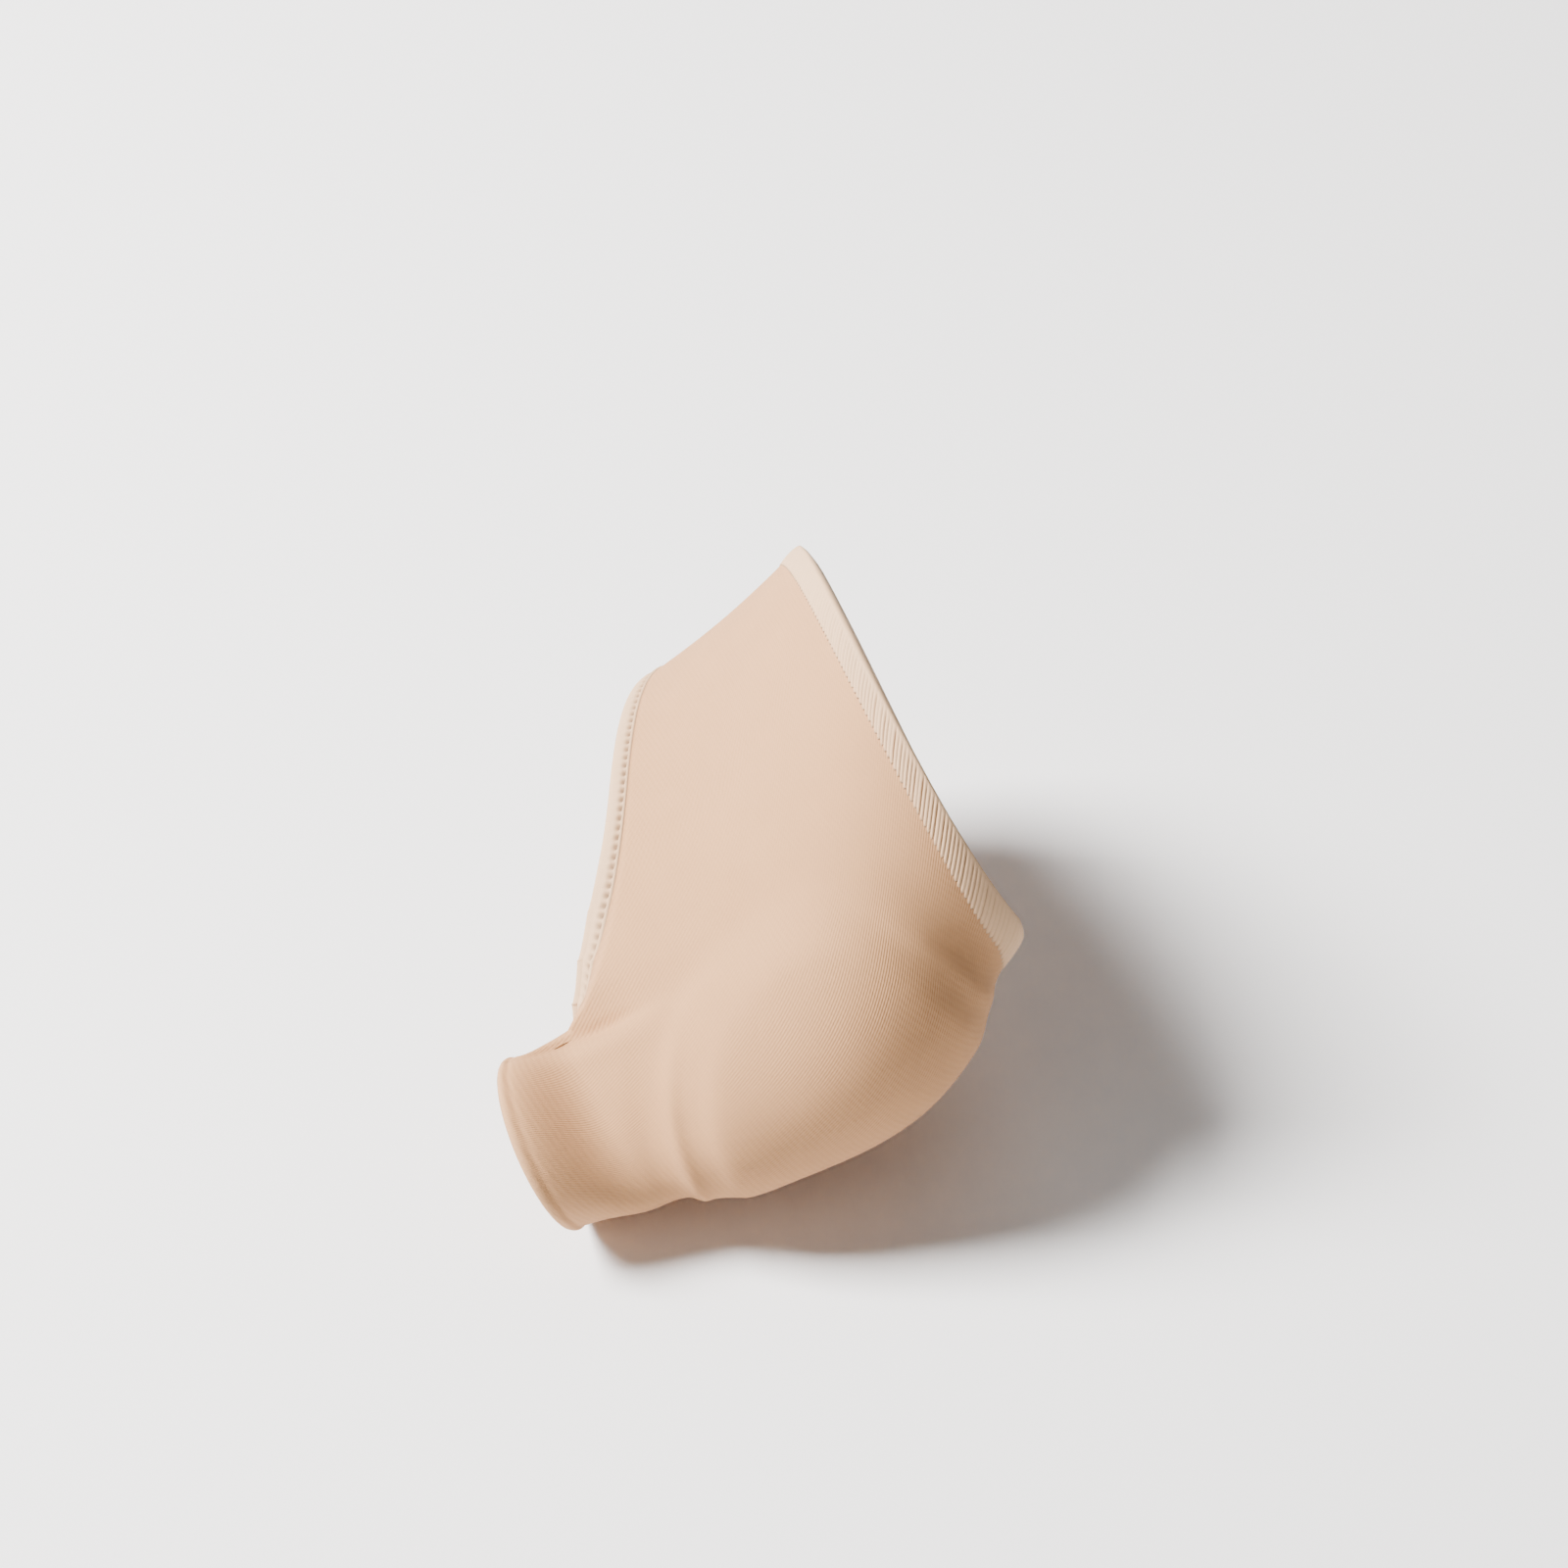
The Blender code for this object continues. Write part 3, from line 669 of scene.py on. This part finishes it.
class OBJECT_OT_bunion_rear_band(bpy.types.Operator):
    """Build the stitched rear hem"""
    bl_idname = "object.bunion_rear_band"
    bl_label = "Rear hem"

    def execute(self, context):
        """Columns follow the slanting threads; height is a rounded ridge for each thread that fades at
        the free edge, and the seam side is scalloped."""
        s = context.scene.bunion_protector
        form = Form(s)
        dense = np.linspace(0.0, 360.0, 1441)[:-1] + FORK_TOP
        edge_row = form.skin(dense, form.rear_edge(dense))
        run, whole = length_along(edge_row)
        threads = int(round(whole / s.thread_pitch))
        per = 8
        count = threads * per
        width = s.rear_hem + LAP
        across = np.linspace(0.0, 1.0, 17)
        column_run = np.arange(count) / count * whole
        place = (column_run[None, :] + THREAD_SLANT * (across[:, None] - 0.5)) % whole
        runs = np.concatenate((run, (whole,)))
        angle = np.interp(place, runs, np.concatenate((dense, (FORK_TOP + 360.0,))))
        phase = np.arange(count) / per
        turn = np.mod(angle, 360.0)
        shown = 0.25 + 0.75 * smooth((turn - 70.0) / 20.0) * smooth((215.0 - turn) / 20.0)
        bold = shown * smooth(np.abs(turn - 78.0) / 30.0) * (1.0 - 0.9 * hump(turn, 184.0, 16.0))
        ridge = np.abs(np.sin(np.pi * phase))[None, :]
        ends = smooth(across / 0.10)[:, None] * smooth((1.0 - across) / 0.30)[:, None]
        strong = (0.15 + 0.85 * bold) * ends
        slit = np.round(phase)
        wobble = 0.5 + 0.5 * np.sin(slit * 2.4) * np.sin(slit * 0.71 + 1.0) + 0.3 * np.sin(slit * 4.1)
        strong = strong * np.clip(0.35 + 0.65 * wobble, 0.1, 1.0)[None, :]
        scallop = 0.00040 * (ridge - 0.5) * smooth((0.25 - across) / 0.25)[:, None]
        share = form.rear_edge(angle) - (width * (1.0 - across)[:, None] + scallop) / s.sleeve_length
        height = 0.00036 * np.sqrt(np.clip(np.sin(np.pi * across), 0.0, 1.0))[:, None]
        height = height + 0.00026 * (ridge ** 0.6 - 1.0) * strong
        grid = form.skin(angle, share, -height)
        # Painted shade: dark slits between the threads, stronger where the threads stand out, and a dark
        # line along the seam side.
        gap_shade = smooth((0.42 - ridge) / 0.40) * strong * 1.2
        gap_shade = np.maximum(gap_shade, 0.55 * smooth((0.06 - across) / 0.06)[:, None] * np.ones_like(gap_shade))
        back = np.array((1.0, 0.92, 0.5, 0.08, 0.0))[:, None]
        deep = np.array((0.35, 0.85, 0.85, 0.85, 0.35))[:, None] * s.hem_thickness
        inner_share = form.rear_edge(angle[-1]) - width * (1.0 - back) / s.sleeve_length
        inner = form.skin(angle[-1], inner_share, deep)
        inner = self.follow(inner, grid, back)
        thing = add_band("rear_band", grid, inner, gap_shade, hem_look(s, "rear_thread", 0.38), False)
        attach(thing, "root")
        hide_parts("rear_hem")
        return {"FINISHED"}

    def follow(self, inner, outer, back):
        """Slides the inner rows round so that each lies under the slanted outer columns."""
        columns = len(outer[0])
        nearest = int(np.linalg.norm(outer[0] - inner[-1][:1], axis=-1).argmin())
        nearest = nearest if nearest < columns / 2 else nearest - columns
        shift = (1.0 - back[:, 0]) * -nearest
        return np.stack([np.roll(row, int(round(move)), axis=0) for row, move in zip(inner, shift)])


class OBJECT_OT_bunion_toe_band(bpy.types.Operator):
    """Build the piped and stitched hem round the four-toe opening"""
    bl_idname = "object.bunion_toe_band"
    bl_label = "Toe hem"

    def execute(self, context):
        """Across the band: a groove at the seam, a thin cord, a row of stitch dimples and a round
        piping up to the free edge."""
        s = context.scene.bunion_protector
        form = Form(s)
        outer = steps(s, 760)
        fork = steps(s, 110)
        across = np.linspace(0.0, 1.0, 21)
        base = form.four_toe_rows(outer, fork, LIP + across * (s.toe_hem + 0.0002))
        run, whole = length_along(base[0])
        stitches = round(whole / s.stitch_pitch)
        phase = run / whole * stitches
        dimple = (0.5 + 0.5 * np.cos(2.0 * np.pi * phase))[None, :]
        t = across[:, None]
        profile = 0.00034 * np.sqrt(np.clip(1.0 - ((t - 0.68) / 0.34) ** 2, 0.0, 1.0))
        profile = profile + 0.00026 * hump(t, 0.10, 0.055)
        profile = profile - 0.00020 * hump(t, 0.0, 0.05) - 0.00006 * hump(t, 0.24, 0.08)
        holes = hump(t, 0.28, 0.105) * dimple ** 1.5
        cord = hump(t, 0.10, 0.06) * (0.5 + 0.5 * np.cos(2.0 * np.pi * (phase * 2.0)))[None, :]
        pucker = smooth((t - 0.3) / 0.15) * smooth((0.8 - t) / 0.4) * dimple
        height = profile - 0.00060 * holes + 0.00006 * cord - 0.00007 * pucker
        normal = self.normals(base)
        grid = base + normal * height[..., None]
        # Painted shadow: a dark line at the seam, dark stitch holes and a darker groove beside the cord.
        seam = 0.95 * smooth((0.07 - t) / 0.07)
        gap_shade = np.clip(1.15 * holes + seam + 0.25 * hump(t, 0.24, 0.06), 0.0, 1.0)
        rows = [20, 18, 10, 2, 0]
        deep = np.array((0.35, 0.80, 0.80, 0.80, 0.35))[:, None, None] * s.hem_thickness
        inner = base[rows] - normal[rows] * deep
        thing = add_band("toe_band", grid, inner, gap_shade, hem_look(s, "toe_thread", 0.30), True)
        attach(thing, "root")
        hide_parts("toe_hem")
        return {"FINISHED"}

    def normals(self, grid):
        """Outward direction: cross product of the slopes round and across the band."""
        round_it = np.roll(grid, -3, axis=1) - np.roll(grid, 3, axis=1)
        across = np.gradient(grid, axis=0)
        return unit(np.cross(across, round_it))


class OBJECT_OT_bunion_gel(bpy.types.Operator):
    """Build the gel cushion inside the sleeve"""
    bl_idname = "object.bunion_gel"
    bl_label = "Gel cushion"

    def execute(self, context):
        """A ball's latitude and longitude become the cushion's radius and turn, its upper half the side
        against the knit and its lower half the side against the foot."""
        s = context.scene.bunion_protector
        form = Form(s)
        around = steps(s, 120)
        rings = steps(s, 60)
        turn = np.arange(around) / around * 2.0 * np.pi
        tilt = np.linspace(0.0, np.pi, rings + 1)[1:-1, None]
        radius = np.sin(np.where(tilt < np.pi / 2.0, tilt, np.pi - tilt))
        down = np.where(tilt < np.pi / 2.0, 0.0, 1.0) * np.ones_like(turn)
        half = s.pad_length / 2.0 / s.sleeve_length
        share = PAD_SHARE + radius * bulge(np.cos(turn), PAD_SQUARENESS) * half
        angle = PAD_ANGLE - radius * bulge(np.sin(turn), PAD_SQUARENESS) * PAD_HALF_ANGLE
        thick = PAD_RIM + (s.pad_thickness - PAD_RIM) * smooth(1.0 - radius**2)
        rim = np.sqrt(np.clip(1.0 - radius**8, 0.0, 1.0))
        middle = s.wall + PAD_GAP + thick / 2.0
        depth = middle + (down - 0.5) * thick * rim
        grid = form.skin(angle, share, depth)
        faces_at = s.wall + PAD_GAP + np.array((0.0, s.pad_thickness))
        poles = form.skin(np.full(2, PAD_ANGLE), np.full(2, PAD_SHARE), faces_at)
        verts = np.concatenate((grid.reshape(-1, 3), poles))
        numbers = np.arange(grid.shape[0] * around).reshape(grid.shape[:2])
        quads = np.concatenate([grid_faces(hi, lo) for lo, hi in zip(numbers[:-1], numbers[1:])])
        first = numbers[0]
        final = numbers[-1]
        caps = [(int(a), int(b), len(verts) - 2) for a, b in zip(first, np.roll(first, -1))]
        caps += [(int(b), int(a), len(verts) - 1) for a, b in zip(final, np.roll(final, -1))]
        thing = add_mesh("gel_cushion", verts, quads.tolist() + caps, gel_look(s))
        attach(thing, "root")
        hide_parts("gel_pad")
        return {"FINISHED"}


class OBJECT_OT_bunion_stage(bpy.types.Operator):
    """Build the floor, the lights and the camera"""
    bl_idname = "object.bunion_stage"
    bl_label = "Stage"

    def execute(self, context):
        s = context.scene.bunion_protector
        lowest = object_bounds()[0][2]
        bpy.ops.mesh.primitive_plane_add(size=6.0, location=(0.0, 0.0, lowest - 0.0005))
        floor = context.active_object
        floor.name = "floor"
        look = Look("floor", tuple(s.floor_colour), 0.9)
        look.shader.inputs["Specular IOR Level"].default_value = 0.1
        floor.data.materials.append(look.material)
        floor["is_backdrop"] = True
        world = bpy.data.worlds.new("studio")
        world.use_nodes = True
        world.node_tree.nodes["Background"].inputs["Color"].default_value = (1.0, 0.985, 0.97, 1.0)
        world.node_tree.nodes["Background"].inputs["Strength"].default_value = 0.15
        context.scene.world = world
        self.light("key", (-0.80, 0.40, 0.92), 0.50, 82.0, (1.0, 0.985, 0.96))
        self.light("fill", (-1.0, -0.5, 0.5), 0.9, 3.0, (1.0, 0.95, 0.90))
        self.light("back", (0.35, 0.9, 0.9), 0.8, 3.0, (1.0, 0.99, 0.98))
        self.camera(context, azimuth=-20.0, elevation=40.0, distance=0.65,
                    aim=(-0.00494, -0.0130, 0.02911), lens=109.7)
        return {"FINISHED"}

    def light(self, name, place, size, power, colour):
        """A square area light facing the middle of the object."""
        data = bpy.data.lights.new(name, "AREA")
        data.size = size
        data.energy = power
        data.color = colour
        thing = bpy.data.objects.new(name, data)
        thing.location = place
        thing.rotation_euler = (Vector((0.0, 0.0, 0.0)) - Vector(place)).to_track_quat("-Z", "Y").to_euler()
        bpy.context.scene.collection.objects.link(thing)

    def camera(self, context, azimuth, elevation, distance, aim, lens):
        a = math.radians(azimuth)
        e = math.radians(elevation)
        back = Vector((math.sin(a) * math.cos(e), -math.cos(a) * math.cos(e), math.sin(e)))
        data = bpy.data.cameras.new("camera")
        data.lens = lens
        data.sensor_width = 36.0
        data.clip_start = 0.01
        thing = bpy.data.objects.new("camera", data)
        thing.location = Vector(aim) + back * distance
        thing.rotation_euler = back.to_track_quat("Z", "Y").to_euler()
        context.scene.collection.objects.link(thing)
        bpy.context.scene.camera = thing


class VIEW3D_PT_bunion_protector(bpy.types.Panel):
    """Sidebar panel with the sizes and one button for each piece"""
    bl_label = "Bunion protector"
    bl_idname = "VIEW3D_PT_bunion_protector"
    bl_space_type = "VIEW_3D"
    bl_region_type = "UI"
    bl_category = "Bunion protector"

    def draw(self, context):
        layout = self.layout
        settings = context.scene.bunion_protector
        for name in BunionProtectorSettings.__annotations__:
            layout.prop(settings, name)
        for operator in OPERATORS:
            layout.operator(operator.bl_idname)


OPERATORS = (
    OBJECT_OT_bunion_gel,
    OBJECT_OT_bunion_rear_band,
    OBJECT_OT_bunion_toe_band,
    OBJECT_OT_bunion_sleeve,
    OBJECT_OT_bunion_stage,
)
CLASSES = (BunionProtectorSettings,) + OPERATORS + (VIEW3D_PT_bunion_protector,)


def register():
    for item in CLASSES:
        bpy.utils.register_class(item)
    bpy.types.Scene.bunion_protector = PointerProperty(type=BunionProtectorSettings)


def unregister():
    del bpy.types.Scene.bunion_protector
    for item in reversed(CLASSES):
        bpy.utils.unregister_class(item)


def main():
    register()
    bpy.ops.object.bunion_gel()
    bpy.ops.object.bunion_rear_band()
    bpy.ops.object.bunion_toe_band()
    bpy.ops.object.bunion_sleeve()
    bpy.ops.object.bunion_stage()


if __name__ == "__main__":
    main()
